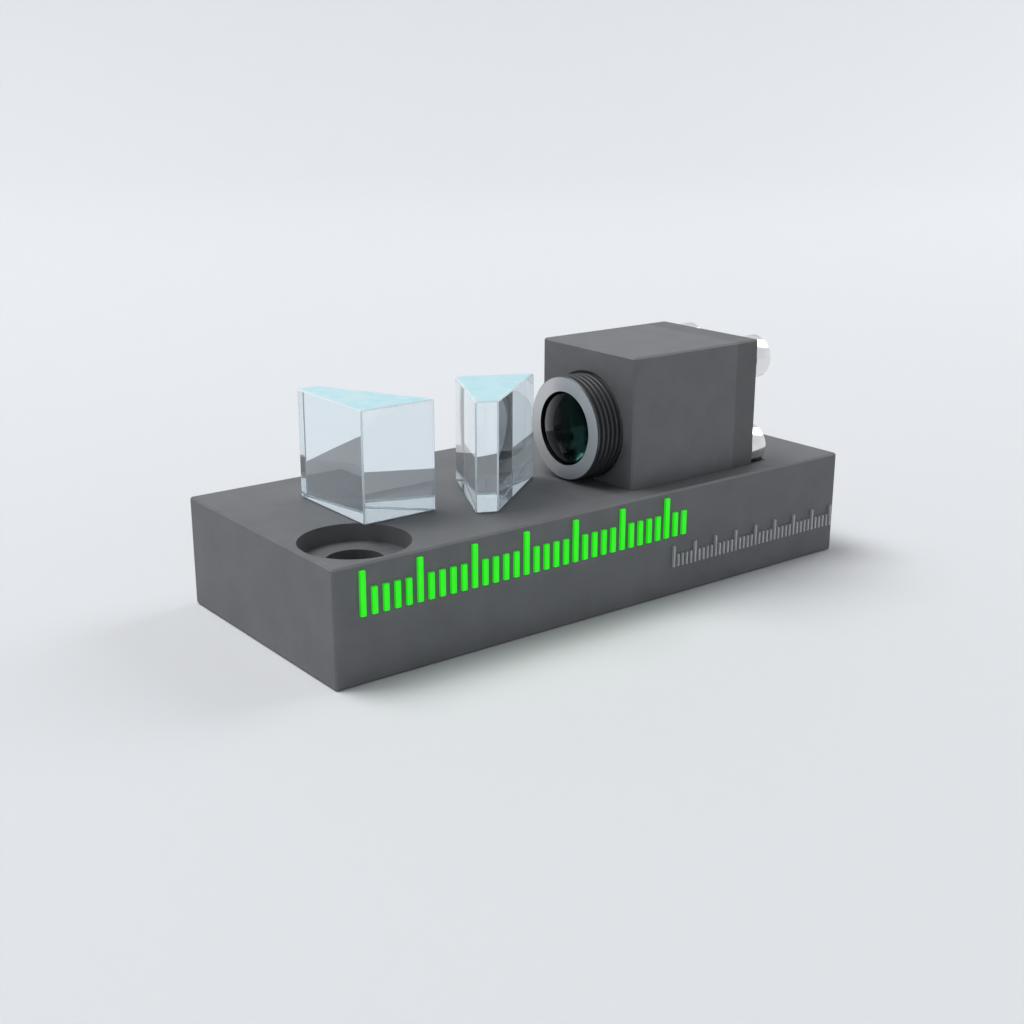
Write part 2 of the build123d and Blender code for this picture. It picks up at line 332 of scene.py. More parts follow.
flint_glass = polished_glass("dense_flint_glass_polished", "#eef8fc", FLINT_INDEX)
# the ground upper ends' frosting is real; their pale blue is a painted reflection
flint_ground_painted_reflection = ground_glass("dense_flint_glass_ground_painted_reflection", "#d4f7fc", "#bdf0fa", FLINT_INDEX)
flint_edge = ground_glass("dense_flint_glass_broken_edge", "#eefafd", "#e2f5fa", FLINT_INDEX)
# the lens glass's darkness is painted shade; its green is the coating's cast
lens_glass_painted_dark = polished_glass("lens_glass_coated_painted_dark", "#142b28", 1.75, reflection="#0c2624")
window_glass = polished_glass("borosilicate_glass_polished", "#eef4f4", 1.5)
seal_glass = polished_glass("seal_glass_fused", "#7f9c8a", 1.5, roughness=0.25)
print("light runs", FLINT_INDEX, "times slower in the wedges than in air")

# %% [markdown]
# ## Plastic, ceramic and enamel
#
# The clamp sleeve is a turned engineering plastic. The diode's chip carrier is a white ceramic, and
# the chip itself is a dark crystal. The graduations on the front are enamel, which is a thick glossy
# paint: an even, strong colour with a soft highlight and a slightly wavy skin. Each is a body of even
# colour under a smooth skin, so one recipe with a weak mottle and a long low wave makes them all.
#
# The green enamel is given a weak emission as well. That is a painted glow: it makes the strokes look
# brighter than their surroundings, though they are no lamp.

# %% Plastic, ceramic and enamel


def smooth_coating(name, light, dark, roughness, painted_glow=0.0, wave_mm=0.6, wave_depth_mm=0.004):
    """An even coat or body of colour with a gently uneven skin. One may be given a painted glow."""
    material, tree = new_material(name)
    place = add(tree, "ShaderNodeTexCoord").outputs["Object"]
    wave = add(tree, "ShaderNodeTexNoise", {"Vector": place, "Scale": 1 / (wave_mm * MM), "Detail": 1.0})
    end_material(tree, {
        "Base Color": mottled(tree, place, light, dark, patch_mm=2 * wave_mm),
        "Roughness": roughness,
        "Emission Color": linear(light),
        "Emission Strength": painted_glow,
        "Normal": add(tree, "ShaderNodeBump", {
            "Height": wave, "Strength": 0.5, "Distance": wave_depth_mm * MM,
        }),
    })
    return material


sleeve_plastic = smooth_coating("acetal_turned", "#d8d2c2", "#cfc8b6", 0.45)
carrier_ceramic = smooth_coating("aluminium_nitride_lapped", "#e6e4dc", "#dcdad2", 0.5)
chip_crystal = smooth_coating("semiconductor_crystal_cleaved", "#3c3d46", "#2d2e36", 0.15)
# the green enamel's emission is a painted glow, not a lamp
green_enamel = smooth_coating("enamel_green_painted_glow", "#22fa00", "#1eee00", 0.35, painted_glow=0.35)
grey_enamel = smooth_coating("enamel_grey", "#b6b7b9", "#aeafb1", 0.4)
print("made", sleeve_plastic.name + ",", green_enamel.name, "and three more")

# %% [markdown]
# ## A lathe for turned shapes
#
# Lens, barrel and screws are all turned parts, so they share one tool: a lathe. It takes an outline,
# a list of heights along the axis with a radius each, and spins it. Blender's Screw modifier does the
# same for round outlines. A screw's socket isn't round, though, so here an outline point may ask for
# six sides: its radius is then measured to the flats, and it grows and shrinks with the angle as a
# hexagon's edge does. With 144 steps round, each corner of the hexagon falls on a step and stays sharp.

# %% The lathe
STEPS_ROUND = 144


def spoke(radius, sides, angle):
    """Distance from the axis at an angle, for a circle (0 sides) or a polygon measured to its flats."""
    if sides == 0:
        return radius
    sector = 2 * pi / sides
    return radius / cos(angle % sector - sector / 2)


def lathe(name, outline, ring=False):
    """Spins (height, radius, sides) points about Z. A ring's outline is closed. A point with a radius
    of 0 becomes one vertex on the axis."""
    mesh = bpy.data.meshes.new(name)
    vertices, rows, faces = [], [], []
    for height, radius, sides in outline:
        start = len(vertices)
        steps = 1 if radius == 0 else STEPS_ROUND
        for step in range(steps):
            angle = 2 * pi * step / STEPS_ROUND
            reach = spoke(radius, sides, angle)
            vertices.append((reach * cos(angle) * MM, reach * sin(angle) * MM, height * MM))
        rows.append([start + step % steps for step in range(STEPS_ROUND)])
    pairs = list(zip(rows, rows[1:] + rows[:1])) if ring else list(zip(rows, rows[1:]))
    for lower, upper in pairs:
        for step in range(STEPS_ROUND):
            after = (step + 1) % STEPS_ROUND
            corners = [lower[step], lower[after], upper[after], upper[step]]
            faces.append(list(dict.fromkeys(corners)))
    mesh.from_pydata(vertices, [], faces)
    mesh.update()
    return mesh


print("a hexagon's corner comes every", STEPS_ROUND // 6, "steps")

# %% [markdown]
# ## Finishing a mesh
#
# A finished piece is a closed mesh whose faces all point outwards, because glass and bump both depend
# on which side is out. Its edges are sharp where the real ones are, and shaded smoothly elsewhere.
# Blender's object tools could do all this with a piece selected. These helpers work on the mesh
# itself, so it never matters what is selected.

# %% Mesh helpers
DOUBLES = 1e-8                                      # metres: points closer than this are one
TO_REAR = Matrix.Rotation(radians(90), 4, "Y")      # turns Z to +X


def point_outwards(mesh):
    """Merges double points of a closed mesh and turns all its faces outwards."""
    work = bmesh.new()
    work.from_mesh(mesh)
    bmesh.ops.remove_doubles(work, verts=work.verts, dist=DOUBLES)
    bmesh.ops.recalc_face_normals(work, faces=work.faces)
    work.to_mesh(mesh)
    work.free()


def round_edges(mesh, width):
    """Breaks all edges of a closed mesh with a small round."""
    point_outwards(mesh)
    work = bmesh.new()
    work.from_mesh(mesh)
    bmesh.ops.bevel(
        work, geom=work.edges, offset=width, segments=2, profile=0.5, affect="EDGES", material=-1
    )
    work.to_mesh(mesh)
    work.free()


def shade(mesh, sharp_from=35):
    """Smooth shading that keeps edges sharper than the given angle, in degrees."""
    mesh.shade_smooth()
    mesh.set_sharp_from_angle(angle=radians(sharp_from))


def on_beam(mesh, x):
    """Puts a turned mesh on the beam axis with its zero height at x, facing the rear."""
    mesh.transform(Matrix.Translation((x, beam_y, beam_z)) @ TO_REAR)


print("the lathe's axis, Z, is turned to", [round(part) for part in TO_REAR @ Vector((0, 0, 1))])

# %% [markdown]
# ## Showing a piece
#
# A finished mesh becomes a piece of the module here. It is told which body it rides on, and which of
# the frame's solids it stands for. Those solids are hidden, and the simulation goes on using them for
# contact. The same lines could be typed for each piece, but one function makes sure that no piece is
# left without a body.

# %% Showing a piece


def show(name, mesh, replaces=()):
    """Makes a finished piece of a mesh, which may stand for some of the frame's solids."""
    piece = bpy.data.objects.new(name, mesh)
    bpy.context.collection.objects.link(piece)
    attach(piece, "root")
    if replaces:
        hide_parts(*replaces)
    print(name, "has", len(mesh.polygons), "faces")


# %% [markdown]
# ## The lens
#
# The collimating lens is plano-convex: a flat back that seats in the barrel, and a front that is part
# of a sphere. The frame's solid has the right form, but coarse facets, and glass shows every facet
# twice. A sphere cut in two would leave rows of uneven faces, so the lens is spun from a fine arc: its
# size comes from the frame's box, and the arc has rows at equal angles.

# %% Lens
LENS_CURVATURE = 6.0
LENS_ROWS = 24


def lens_outline(radius, thickness):
    """From the front vertex along the sphere to the rim, and round to the middle of the back."""
    reach = asin(radius / LENS_CURVATURE)
    outline = []
    for row in range(LENS_ROWS + 1):
        slope = reach * row / LENS_ROWS
        outline.append((LENS_CURVATURE * (1 - cos(slope)), LENS_CURVATURE * sin(slope), 0))
    return outline + [(thickness, radius, 0), (thickness, 0, 0)]


lens_low, lens_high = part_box("collimating_lens")
lens_radius = (lens_high.z - lens_low.z) / 2 / MM
lens_thickness = (lens_high.x - lens_low.x) / MM
lens_mesh = lathe("lens", lens_outline(lens_radius, lens_thickness))
on_beam(lens_mesh, lens_low.x)
point_outwards(lens_mesh)
shade(lens_mesh)
lens_mesh.materials.append(lens_glass_painted_dark)
show("lens", lens_mesh, ["collimating_lens"])

# %% [markdown]
# ## The wedges
#
# The wedges keep the shape of the frame's solids, with their broken edges, so their meshes are copied
# and not built again. Two things change. Each face gets its own finish: polished, ground at the upper
# end, and paler ground on the narrow faces of the broken edges. And the underside is lifted by the
# thickness of the cement, because glass that touches another face exactly leaves the renderer no room
# to reflect in between. Above that thin gap the underside shines like a mirror, as the real one does.

# %% Wedges
CEMENT = 0.02 * MM
SMALLEST_FACE = 2 * MM ** 2         # the broken edges' faces are smaller than this
FACING_UP = 0.99                    # a face whose normal's Z is above this is the upper end
POLISHED, GROUND, EDGE = range(3)   # order of a wedge's materials


def cemented_wedge(name, node):
    """A copy of a wedge, lifted off the base by the cement, with a finish for each kind of face."""
    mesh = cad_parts[node].data.copy()
    point_outwards(mesh)
    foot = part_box(node)[0].z
    for vertex in mesh.vertices:
        if vertex.co.z < foot + CEMENT / 2:
            vertex.co.z += CEMENT
    mesh.materials.clear()
    for glass in (flint_glass, flint_ground_painted_reflection, flint_edge):
        mesh.materials.append(glass)
    for face in mesh.polygons:
        if face.area < SMALLEST_FACE:
            face.material_index = EDGE
        elif face.normal.z > FACING_UP:
            face.material_index = GROUND
        else:
            face.material_index = POLISHED
    mesh.shade_flat()
    show(name, mesh, [node])


cemented_wedge("wedge_near_lens", "input_prism")
cemented_wedge("wedge_at_exit", "output_prism")

# %% [markdown]
# ## Geometry Nodes: building and running a tree
#
# What repeats or follows a rule is made by Geometry Nodes: the thread, the screws, the spring and the
# graduations. They could be made by loops, but a tree keeps its sizes as named inputs that someone can
# change later. Each tree ends by turning its copies into real geometry and giving it a material.
#
# A finished piece must be a plain mesh. So a tree runs on a carrier object, its result is copied to a
# new mesh, and the carrier and its modifier are deleted. A carrier without a material leaves an empty
# slot in front of the tree's own, and that is dropped as well.

# %% Tree helpers
SOCKETS = {
    "float": "NodeSocketFloat", "int": "NodeSocketInt", "vector": "NodeSocketVector",
    "object": "NodeSocketObject", "material": "NodeSocketMaterial",
}


def new_tree(name, **inputs):
    """A geometry tree with the named inputs: returns the tree and its input sockets."""
    tree = bpy.data.node_groups.new(name, "GeometryNodeTree")
    tree.interface.new_socket("Geometry", in_out="INPUT", socket_type="NodeSocketGeometry")
    tree.interface.new_socket("Geometry", in_out="OUTPUT", socket_type="NodeSocketGeometry")
    for label, kind in inputs.items():
        tree.interface.new_socket(label, in_out="INPUT", socket_type=SOCKETS[kind])
    return tree, add(tree, "NodeGroupInput").outputs


def end_tree(tree, geometry, material):
    """Realizes the instances, gives them their material and closes the tree."""
    real = add(tree, "GeometryNodeRealizeInstances", {"Geometry": geometry})
    coated = add(tree, "GeometryNodeSetMaterial", {"Geometry": real, "Material": material})
    add(tree, "NodeGroupOutput", {"Geometry": coated})


def run_tree(tree, mesh=None, **values):
    """Runs a tree with the given input values and returns its result as a plain mesh."""
    carrier = bpy.data.objects.new("carrier", mesh or bpy.data.meshes.new("empty"))
    bpy.context.collection.objects.link(carrier)
    modifier = carrier.modifiers.new(tree.name, "NODES")
    modifier.node_group = tree
    for item in tree.interface.items_tree:
        if item.in_out == "INPUT" and item.name in values:
            modifier[item.identifier] = values[item.name]
    bpy.context.view_layer.update()
    depsgraph = bpy.context.evaluated_depsgraph_get()
    result = bpy.data.meshes.new_from_object(carrier.evaluated_get(depsgraph))
    carrier.modifiers.remove(modifier)
    bpy.data.objects.remove(carrier)
    while result.materials[0] is None:
        result.materials.pop(index=0)
    return result


print("a tree can take these kinds of input:", list(SOCKETS))

# %% [markdown]
# ## The thread
#
# The barrel screws into the housing to focus the beam. Its thread is M9 x 0.5, and five turns of it
# stand in front. A real thread is cut by a pointed tool that runs along while the part turns. One could
# sweep a profile along a helix, but that leaves a seam and doesn't fade out at the ends.
#
# So the tree does what the tool does. It takes a plain barrel with many rows of points. A point's place
# along the axis, counted in pitches, plus its angle, counted in turns, says how far it is from the
# middle of the groove. From that comes how deep the tool would cut there, and the point moves inwards.
# The cut fades in behind the face and fades out at the far end, as where a tool is drawn back.

# %% Thread tree


def thread_tree():
    """Cuts a thread into a plain barrel that lies along X."""
    tree, inputs = new_tree(
        "Cut Thread", Pitch="float", Depth="float", GrooveFloor="float", GrooveEdge="float",
        Start="float", End="float", Runout="float", SkinRadius="float", Axis="vector", Coat="material",
    )
    position = add(tree, "GeometryNodeInputPosition")
    centred = add(tree, "ShaderNodeVectorMath", {0: position, 1: inputs["Axis"]}, operation="SUBTRACT")
    outward = add(tree, "ShaderNodeVectorMath", {0: centred, 1: (0, 1, 1)}, operation="MULTIPLY")
    radius = add(tree, "ShaderNodeVectorMath", {0: outward}, operation="LENGTH").outputs["Value"]
    x, y, z = add(tree, "ShaderNodeSeparateXYZ", {0: centred}).outputs

    # The distance from the groove's middle, in pitches: 0 there, and 0.5 on the crest.
    angle = add(tree, "ShaderNodeMath", {0: z, 1: y}, operation="ARCTAN2")
    along = add(tree, "ShaderNodeMath", {0: x, 1: inputs["Pitch"]}, operation="DIVIDE")
    turns = add(tree, "ShaderNodeMath", {0: angle, 1: 1 / (2 * pi), 2: along}, operation="MULTIPLY_ADD")
    groove = add(tree, "ShaderNodeMath", {0: turns, 1: 0.5}, operation="PINGPONG")
    cut = add(tree, "ShaderNodeMapRange", {
        "Value": groove, "From Min": inputs["GrooveEdge"], "From Max": inputs["GrooveFloor"],
    }, interpolation_type="SMOOTHSTEP")

    # The cut is full in the middle of the thread, and only touches the outer skin.
    from_start = add(tree, "ShaderNodeMath", {0: x, 1: inputs["Start"]}, operation="SUBTRACT")
    from_end = add(tree, "ShaderNodeMath", {0: inputs["End"], 1: x}, operation="SUBTRACT")
    nearest = add(tree, "ShaderNodeMath", {0: from_start, 1: from_end}, operation="MINIMUM")
    fade = add(tree, "ShaderNodeMath", {
        0: nearest, 1: inputs["Runout"],
    }, operation="DIVIDE", use_clamp=True)
    skin = add(tree, "ShaderNodeMath", {0: radius, 1: inputs["SkinRadius"]}, operation="GREATER_THAN")
    faded = add(tree, "ShaderNodeMath", {0: cut, 1: fade}, operation="MULTIPLY")
    share = add(tree, "ShaderNodeMath", {0: faded, 1: skin}, operation="MULTIPLY")
    depth = add(tree, "ShaderNodeMath", {0: share, 1: inputs["Depth"]}, operation="MULTIPLY")

    direction = add(tree, "ShaderNodeVectorMath", {0: outward}, operation="NORMALIZE")
    step = add(tree, "ShaderNodeVectorMath", {0: direction, "Scale": depth}, operation="SCALE")
    cut_back = add(tree, "ShaderNodeVectorMath", {0: position, 1: step}, operation="SUBTRACT")
    moved = add(tree, "GeometryNodeSetPosition", {"Geometry": inputs["Geometry"], "Position": cut_back})
    end_tree(tree, moved, inputs["Coat"])
    return tree


cut_thread = thread_tree()
print("the thread's tree has", len(cut_thread.nodes), "nodes")

# %% [markdown]
# ## The lens barrel
#
# The barrel is a tube with a seat for the lens in front, a narrower clear bore behind it, and a small
# chamfer at both ends. It could be cut from cylinders, but spun as one closed ring it needs no cuts,
# and its rows lie where the thread wants them: twenty to each pitch, on the outside only.

# %% Plain barrel
THREAD_PITCH = 0.5
ROWS_PER_PITCH = 20
BARREL_EDGE = 0.1                   # chamfer at both ends
LENS_SEAT_RADIUS = 3.2
BARREL_BORE_RADIUS = 2.7


def barrel_outline(length, radius, seat_depth):
    """Closed outline: over the front face, along the outside, and back through the bore."""
    threaded = length - 2 * BARREL_EDGE
    rows = round(threaded / THREAD_PITCH * ROWS_PER_PITCH)
    front = [(0, LENS_SEAT_RADIUS, 0), (0, radius - BARREL_EDGE, 0)]
    outside = [(BARREL_EDGE + threaded * row / rows, radius, 0) for row in range(rows + 1)]
    back = [(length, radius - BARREL_EDGE, 0), (length, BARREL_BORE_RADIUS, 0)]
    inside = [(seat_depth, BARREL_BORE_RADIUS, 0), (seat_depth, LENS_SEAT_RADIUS, 0)]
    return front + outside + back + inside


thread_radius = (barrel_high.z - barrel_low.z) / 2
barrel_length = (barrel_high.x - barrel_low.x) / MM
seat_depth = (lens_high.x - barrel_low.x) / MM
plain_barrel = lathe("barrel", barrel_outline(barrel_length, thread_radius / MM, seat_depth), ring=True)
on_beam(plain_barrel, barrel_low.x)
point_outwards(plain_barrel)
print("the plain barrel has", len(plain_barrel.vertices), "points for the thread to move")

# %% [markdown]
# Now the tree cuts the thread. The groove has steep flanks, a narrow floor and a narrow crest, so the
# crests catch the light as thin lines. Afterwards the thread's edges must not be marked as sharp, or
# its rounded flanks would be shaded as steps.

# %% Threaded barrel
THREAD_DEPTH = 0.3
THREAD_RUNOUT = 0.25
SKIN_SHARE = 0.995                  # points beyond this share of the radius lie on the outer skin

barrel_mesh = run_tree(
    cut_thread, plain_barrel, Pitch=THREAD_PITCH * MM, Depth=THREAD_DEPTH * MM,
    GrooveFloor=0.05, GrooveEdge=0.425, Runout=THREAD_RUNOUT * MM,
    Start=barrel_low.x + BARREL_EDGE * MM, End=barrel_high.x - BARREL_EDGE * MM,
    SkinRadius=SKIN_SHARE * thread_radius, Axis=(0, beam_y, beam_z), Coat=dark_thread,
)
shade(barrel_mesh)


def distance_from_axis(point):
    """How far a point is from the beam axis."""
    return Vector((point.y - beam_y, point.z - beam_z)).length


chamfer = 1.5 * BARREL_EDGE * MM    # a little more than the real one, whose edges stay sharp
thread_floor = thread_radius - 1.5 * THREAD_DEPTH * MM      # what lies deeper is bore and seat
for edge in barrel_mesh.edges:
    ends = [barrel_mesh.vertices[corner].co for corner in edge.vertices]
    if all(barrel_low.x + chamfer < end.x < barrel_high.x - chamfer for end in ends):
        edge.use_edge_sharp = any(distance_from_axis(end) < thread_floor for end in ends)
print("the thread has", round((barrel_length - 2 * BARREL_EDGE) / THREAD_PITCH, 1), "turns")

# %% [markdown]
# Three finishes meet on the barrel. Painting them face by face would take long, and a face's place and
# direction already say which it gets: what looks at the axis or lies within the lens seat is blackened,
# the flat ring in front is freshly turned, and all the rest keeps the dark skin of the thread.

# %% Finishes of the barrel
barrel_mesh.materials.append(satin_turned)
barrel_mesh.materials.append(black_bore)
THREAD, FACE, BORE = range(3)       # order of the barrel's materials
FACING_FRONT = -0.99                # a face whose normal's X is below this is the ring in front
FACING_AXIS = 0.5                   # a face whose normal points this much to the axis is inside

for face in barrel_mesh.polygons:
    inward = face.normal.y * (beam_y - face.center.y) + face.normal.z * (beam_z - face.center.z)
    distance = distance_from_axis(face.center)
    if inward > FACING_AXIS * distance or distance < LENS_SEAT_RADIUS * MM:
        face.material_index = BORE
    elif face.normal.x < FACING_FRONT:
        face.material_index = FACE
    else:
        face.material_index = THREAD
show("barrel", barrel_mesh, ["lens_barrel"])

# %% [markdown]
# ## Cap screws
#
# The four screws at the back and the two underneath are the same M2 socket head cap screw in two
# lengths. Copying a finished screw by hand would do for six. A tree does it for any number: it makes a
# grid of points, as wide as the screws stand apart, and sets a copy of one screw on each. Nobody
# tightens screws to the same angle, so each copy is turned about its own axis by a random angle. A
# fixed seed gives it the same angle every time.

# %% Screw tree


def screw_grid_tree():
    """Sets copies of one screw on a grid, each turned by its own angle."""
    tree, inputs = new_tree(
        "Screw Grid", Screw="object", Rows="int", Columns="int", RowSpan="float", ColumnSpan="float",
        Centre="vector", Facing="vector", Seed="int", Coat="material",
    )
    grid = add(tree, "GeometryNodeMeshGrid", {
        "Size X": inputs["RowSpan"], "Size Y": inputs["ColumnSpan"],
        "Vertices X": inputs["Rows"], "Vertices Y": inputs["Columns"],
    })
    angle = add(tree, "FunctionNodeRandomValue", {
        "Max": 2 * pi, "Seed": inputs["Seed"],
    }, data_type="FLOAT").outputs[1]
    spin = add(tree, "ShaderNodeCombineXYZ", {"Z": angle})
    screw = add(tree, "GeometryNodeObjectInfo", {"Object": inputs["Screw"]})
    copies = add(tree, "GeometryNodeInstanceOnPoints", {
        "Points": grid, "Instance": screw.outputs["Geometry"], "Rotation": spin,
    })
    placed = add(tree, "GeometryNodeTransform", {
        "Geometry": copies, "Translation": inputs["Centre"], "Rotation": inputs["Facing"],
    })
    end_tree(tree, placed, inputs["Coat"])
    return tree


screw_grid = screw_grid_tree()
print("the screws' tree has", len(screw_grid.nodes), "nodes")

# %% [markdown]
# One screw is turned on the lathe, because a real one is turned as well: a shank with a bevelled tip,
# a head with a rounded edge, and a six-sided socket with a short cone at its bottom, as the drill
# leaves it.

# %% One screw
HEAD_RADIUS = 1.9
HEAD_HEIGHT = 1.8
HEAD_ROUND = 0.18                   # of the upper edge
HEAD_FOOT_EDGE = 0.05
SHANK_RADIUS = 1.0
SHANK_TIP = 0.15
KEY_RADIUS = 0.75                   # to the flats of the hexagon
KEY_DEPTH = 0.9
KEY_CONE = 0.25                     # under the socket
KEY_MOUTH = 0.06                    # depth of the round countersink
KEY_MOUTH_RADIUS = 0.96             # clears the hexagon's corners


def cap_screw(name, length):
    """One screw: head seat at height 0, head upwards and shank down."""
    round_off = HEAD_ROUND * (1 - cos(radians(45)))
    socket_floor = HEAD_HEIGHT - KEY_DEPTH
    outline = [
        (-length, 0, 0), (-length, SHANK_RADIUS - SHANK_TIP, 0), (SHANK_TIP - length, SHANK_RADIUS, 0),
        (0, SHANK_RADIUS, 0), (0, HEAD_RADIUS - HEAD_FOOT_EDGE, 0), (HEAD_FOOT_EDGE, HEAD_RADIUS, 0),
        (HEAD_HEIGHT - HEAD_ROUND, HEAD_RADIUS, 0),
        (HEAD_HEIGHT - round_off, HEAD_RADIUS - round_off, 0),
        (HEAD_HEIGHT, HEAD_RADIUS - HEAD_ROUND, 0), (HEAD_HEIGHT, KEY_MOUTH_RADIUS, 0),
        (HEAD_HEIGHT - KEY_MOUTH, KEY_RADIUS, 6), (socket_floor, KEY_RADIUS, 6),
        (socket_floor - KEY_CONE, 0, 0),
    ]
    mesh = lathe(name, outline)
    point_outwards(mesh)
    shade(mesh, sharp_from=40)
    model = bpy.data.objects.new(name, mesh)
    bpy.context.collection.objects.link(model)
    return model


print("a screw's head is", 2 * HEAD_RADIUS, "mm wide and", HEAD_HEIGHT, "mm high")

# %% [markdown]
# The frame's boxes say how long each kind of screw is and how far apart its copies stand. The tree's
# grid lies flat, so it is turned about Y to face the rear, and about X to face down.

# %% Rear screws
rear_low, rear_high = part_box("rear_plate_screws")
rear_middle = (rear_low + rear_high) / 2
rear_seat = rear_high.x - HEAD_HEIGHT * MM
rear_model = cap_screw("rear_model", (rear_seat - rear_low.x) / MM)
rear_mesh = run_tree(
    screw_grid, Screw=rear_model, Rows=2, Columns=2, Seed=4, Coat=bright_steel,
    RowSpan=rear_high.z - rear_low.z - 2 * HEAD_RADIUS * MM,
    ColumnSpan=rear_high.y - rear_low.y - 2 * HEAD_RADIUS * MM,
    Centre=(rear_seat, rear_middle.y, rear_middle.z), Facing=(0, radians(90), 0),
)
bpy.data.objects.remove(rear_model)
show("rear_screws", rear_mesh, ["rear_plate_screws"])

# %% Screws underneath
under_low, under_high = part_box("housing_screws")
under_middle = (under_low + under_high) / 2
under_seat = under_low.z + HEAD_HEIGHT * MM
under_model = cap_screw("under_model", (under_high.z - under_seat) / MM)
under_mesh = run_tree(
    screw_grid, Screw=under_model, Rows=1, Columns=2, Seed=9, Coat=bright_steel, RowSpan=0.0,
    ColumnSpan=under_high.y - under_low.y - 2 * HEAD_RADIUS * MM,
    Centre=(under_middle.x, under_middle.y, under_seat), Facing=(radians(180), 0, 0),
)
bpy.data.objects.remove(under_model)
show("under_screws", under_mesh, ["housing_screws"])

# %% [markdown]
# ## The barrel's spring
#
# Behind the barrel a short coil of square wire pushes it forwards, so that the focus thread has no
# play. A tree draws the spiral that the wire follows and sweeps a square along it, with its ends
# closed. The mesh could also be kept from the frame, but there the coil has few facets.

# %% Spring tree


def spring_tree():
    """Sweeps a square wire along a spiral."""
    tree, inputs = new_tree(
        "Square Spring", Turns="float", Radius="float", Height="float", Wire="float",
        Place="vector", Facing="vector", Coat="material",
    )
    spiral = add(tree, "GeometryNodeCurveSpiral", {
        "Resolution": 64, "Rotations": inputs["Turns"], "Start Radius": inputs["Radius"],
        "End Radius": inputs["Radius"], "Height": inputs["Height"],
    })
    square = add(tree, "GeometryNodeCurvePrimitiveQuadrilateral", {
        "Width": inputs["Wire"], "Height": inputs["Wire"],
    })
    wire = add(tree, "GeometryNodeCurveToMesh", {
        "Curve": spiral, "Profile Curve": square, "Fill Caps": True,
    })
    placed = add(tree, "GeometryNodeTransform", {
        "Geometry": wire, "Translation": inputs["Place"], "Rotation": inputs["Facing"],
    })
    end_tree(tree, placed, inputs["Coat"])
    return tree


square_spring = spring_tree()
print("the spring's tree has", len(square_spring.nodes), "nodes")

# %% Spring
SPRING_WIRE = 0.35
SPRING_TURNS = 2.0

spring_low, spring_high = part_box("barrel_spring")
spring_mesh = run_tree(
    square_spring, Turns=SPRING_TURNS, Wire=SPRING_WIRE * MM, Coat=drawn_steel,
    Radius=(spring_high.z - spring_low.z - SPRING_WIRE * MM) / 2,
    Height=spring_high.x - spring_low.x - SPRING_WIRE * MM,
    Place=(spring_low.x + SPRING_WIRE * MM / 2, beam_y, beam_z), Facing=(0, radians(90), 0),
)
point_outwards(spring_mesh)
shade(spring_mesh)
show("spring", spring_mesh, ["barrel_spring"])

# %% [markdown]
# ## Graduations on the front
#
# Two rows of raised enamel strokes run along the front of the base: a green one with a stroke every
# millimetre, and a finer grey one with a stroke every half millimetre. Every fifth stroke is longer,
# as on a steel rule. An Array modifier could repeat a stroke, but not make every fifth one longer. The
# tree sets bars on a line of points and picks each bar's height from its number.

# %% Graduation tree


def graduation_tree():
    """Sets bars in a row and makes every fifth one taller."""
    tree, inputs = new_tree(
        "Graduation", Count="int", Pitch="float", Width="float", Thickness="float", Short="float",
        Tall="float", Start="vector", Coat="material",
    )
    step = add(tree, "ShaderNodeCombineXYZ", {"X": inputs["Pitch"]})
    line = add(tree, "GeometryNodeMeshLine", {
        "Count": inputs["Count"], "Start Location": inputs["Start"], "Offset": step,
    })
    number = add(tree, "GeometryNodeInputIndex")
    in_five = add(tree, "ShaderNodeMath", {0: number, 1: 5.0}, operation="MODULO")
    is_fifth = add(tree, "ShaderNodeMath", {0: in_five, 1: 0.5}, operation="LESS_THAN")
    extra = add(tree, "ShaderNodeMath", {0: inputs["Tall"], 1: inputs["Short"]}, operation="SUBTRACT")
    height = add(tree, "ShaderNodeMath", {
        0: extra, 1: is_fifth, 2: inputs["Short"],
    }, operation="MULTIPLY_ADD")
    bar = add(tree, "GeometryNodeMeshCube", {"Size": (1, 1, 1)})
    standing = add(tree, "GeometryNodeTransform", {"Geometry": bar, "Translation": (0, 0, 0.5)})
    size = add(tree, "ShaderNodeCombineXYZ", {
        "X": inputs["Width"], "Y": inputs["Thickness"], "Z": height,
    })
    bars = add(tree, "GeometryNodeInstanceOnPoints", {
        "Points": line, "Instance": standing, "Scale": size,
    })
    end_tree(tree, bars, inputs["Coat"])
    return tree


rule = graduation_tree()
print("the graduations' tree has", len(rule.nodes), "nodes")

# %% [markdown]
# Each stroke stands a quarter of a millimetre out of the face and is rooted a little way in it, so
# that no gap shows behind. Poured enamel has no sharp edges, so a small round breaks them.

# %% Graduations
RELIEF = 0.25                       # of a stroke, out of the face
ROOT = 0.05                         # of a stroke, into the face
STROKE_ROUND = 0.04


def graduation(name, coat, first_x, foot_z, count, pitch, width, short, tall):
    """One row of strokes on the front face, with all sizes in millimetres."""
    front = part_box("base_plate")[0].y
    middle = front - (RELIEF - ROOT) / 2 * MM
    mesh = run_tree(
        rule, Count=count, Pitch=pitch * MM, Width=width * MM, Thickness=(RELIEF + ROOT) * MM,
        Short=short * MM, Tall=tall * MM, Start=(first_x * MM, middle, foot_z * MM), Coat=coat,
    )
    round_edges(mesh, STROKE_ROUND * MM)
    show(name, mesh)


graduation("green_strokes", green_enamel, first_x=-24.6, foot_z=5.4,
           count=33, pitch=1.0, width=0.45, short=2.1, tall=3.5)
graduation("grey_strokes", grey_enamel, first_x=6.4, foot_z=2.6,
           count=41, pitch=0.5, width=0.2, short=1.1, tall=1.9)

# %% [markdown]
# ## Finishes for the frame's own solids
#
# The other solids are right as they come from the frame, down to their broken edges. They could be
# built again here, but nothing would be gained, so they only get a finish. Most of the small ones sit
# inside the head, where the eye meets them through the hole in the rear plate or not at all.

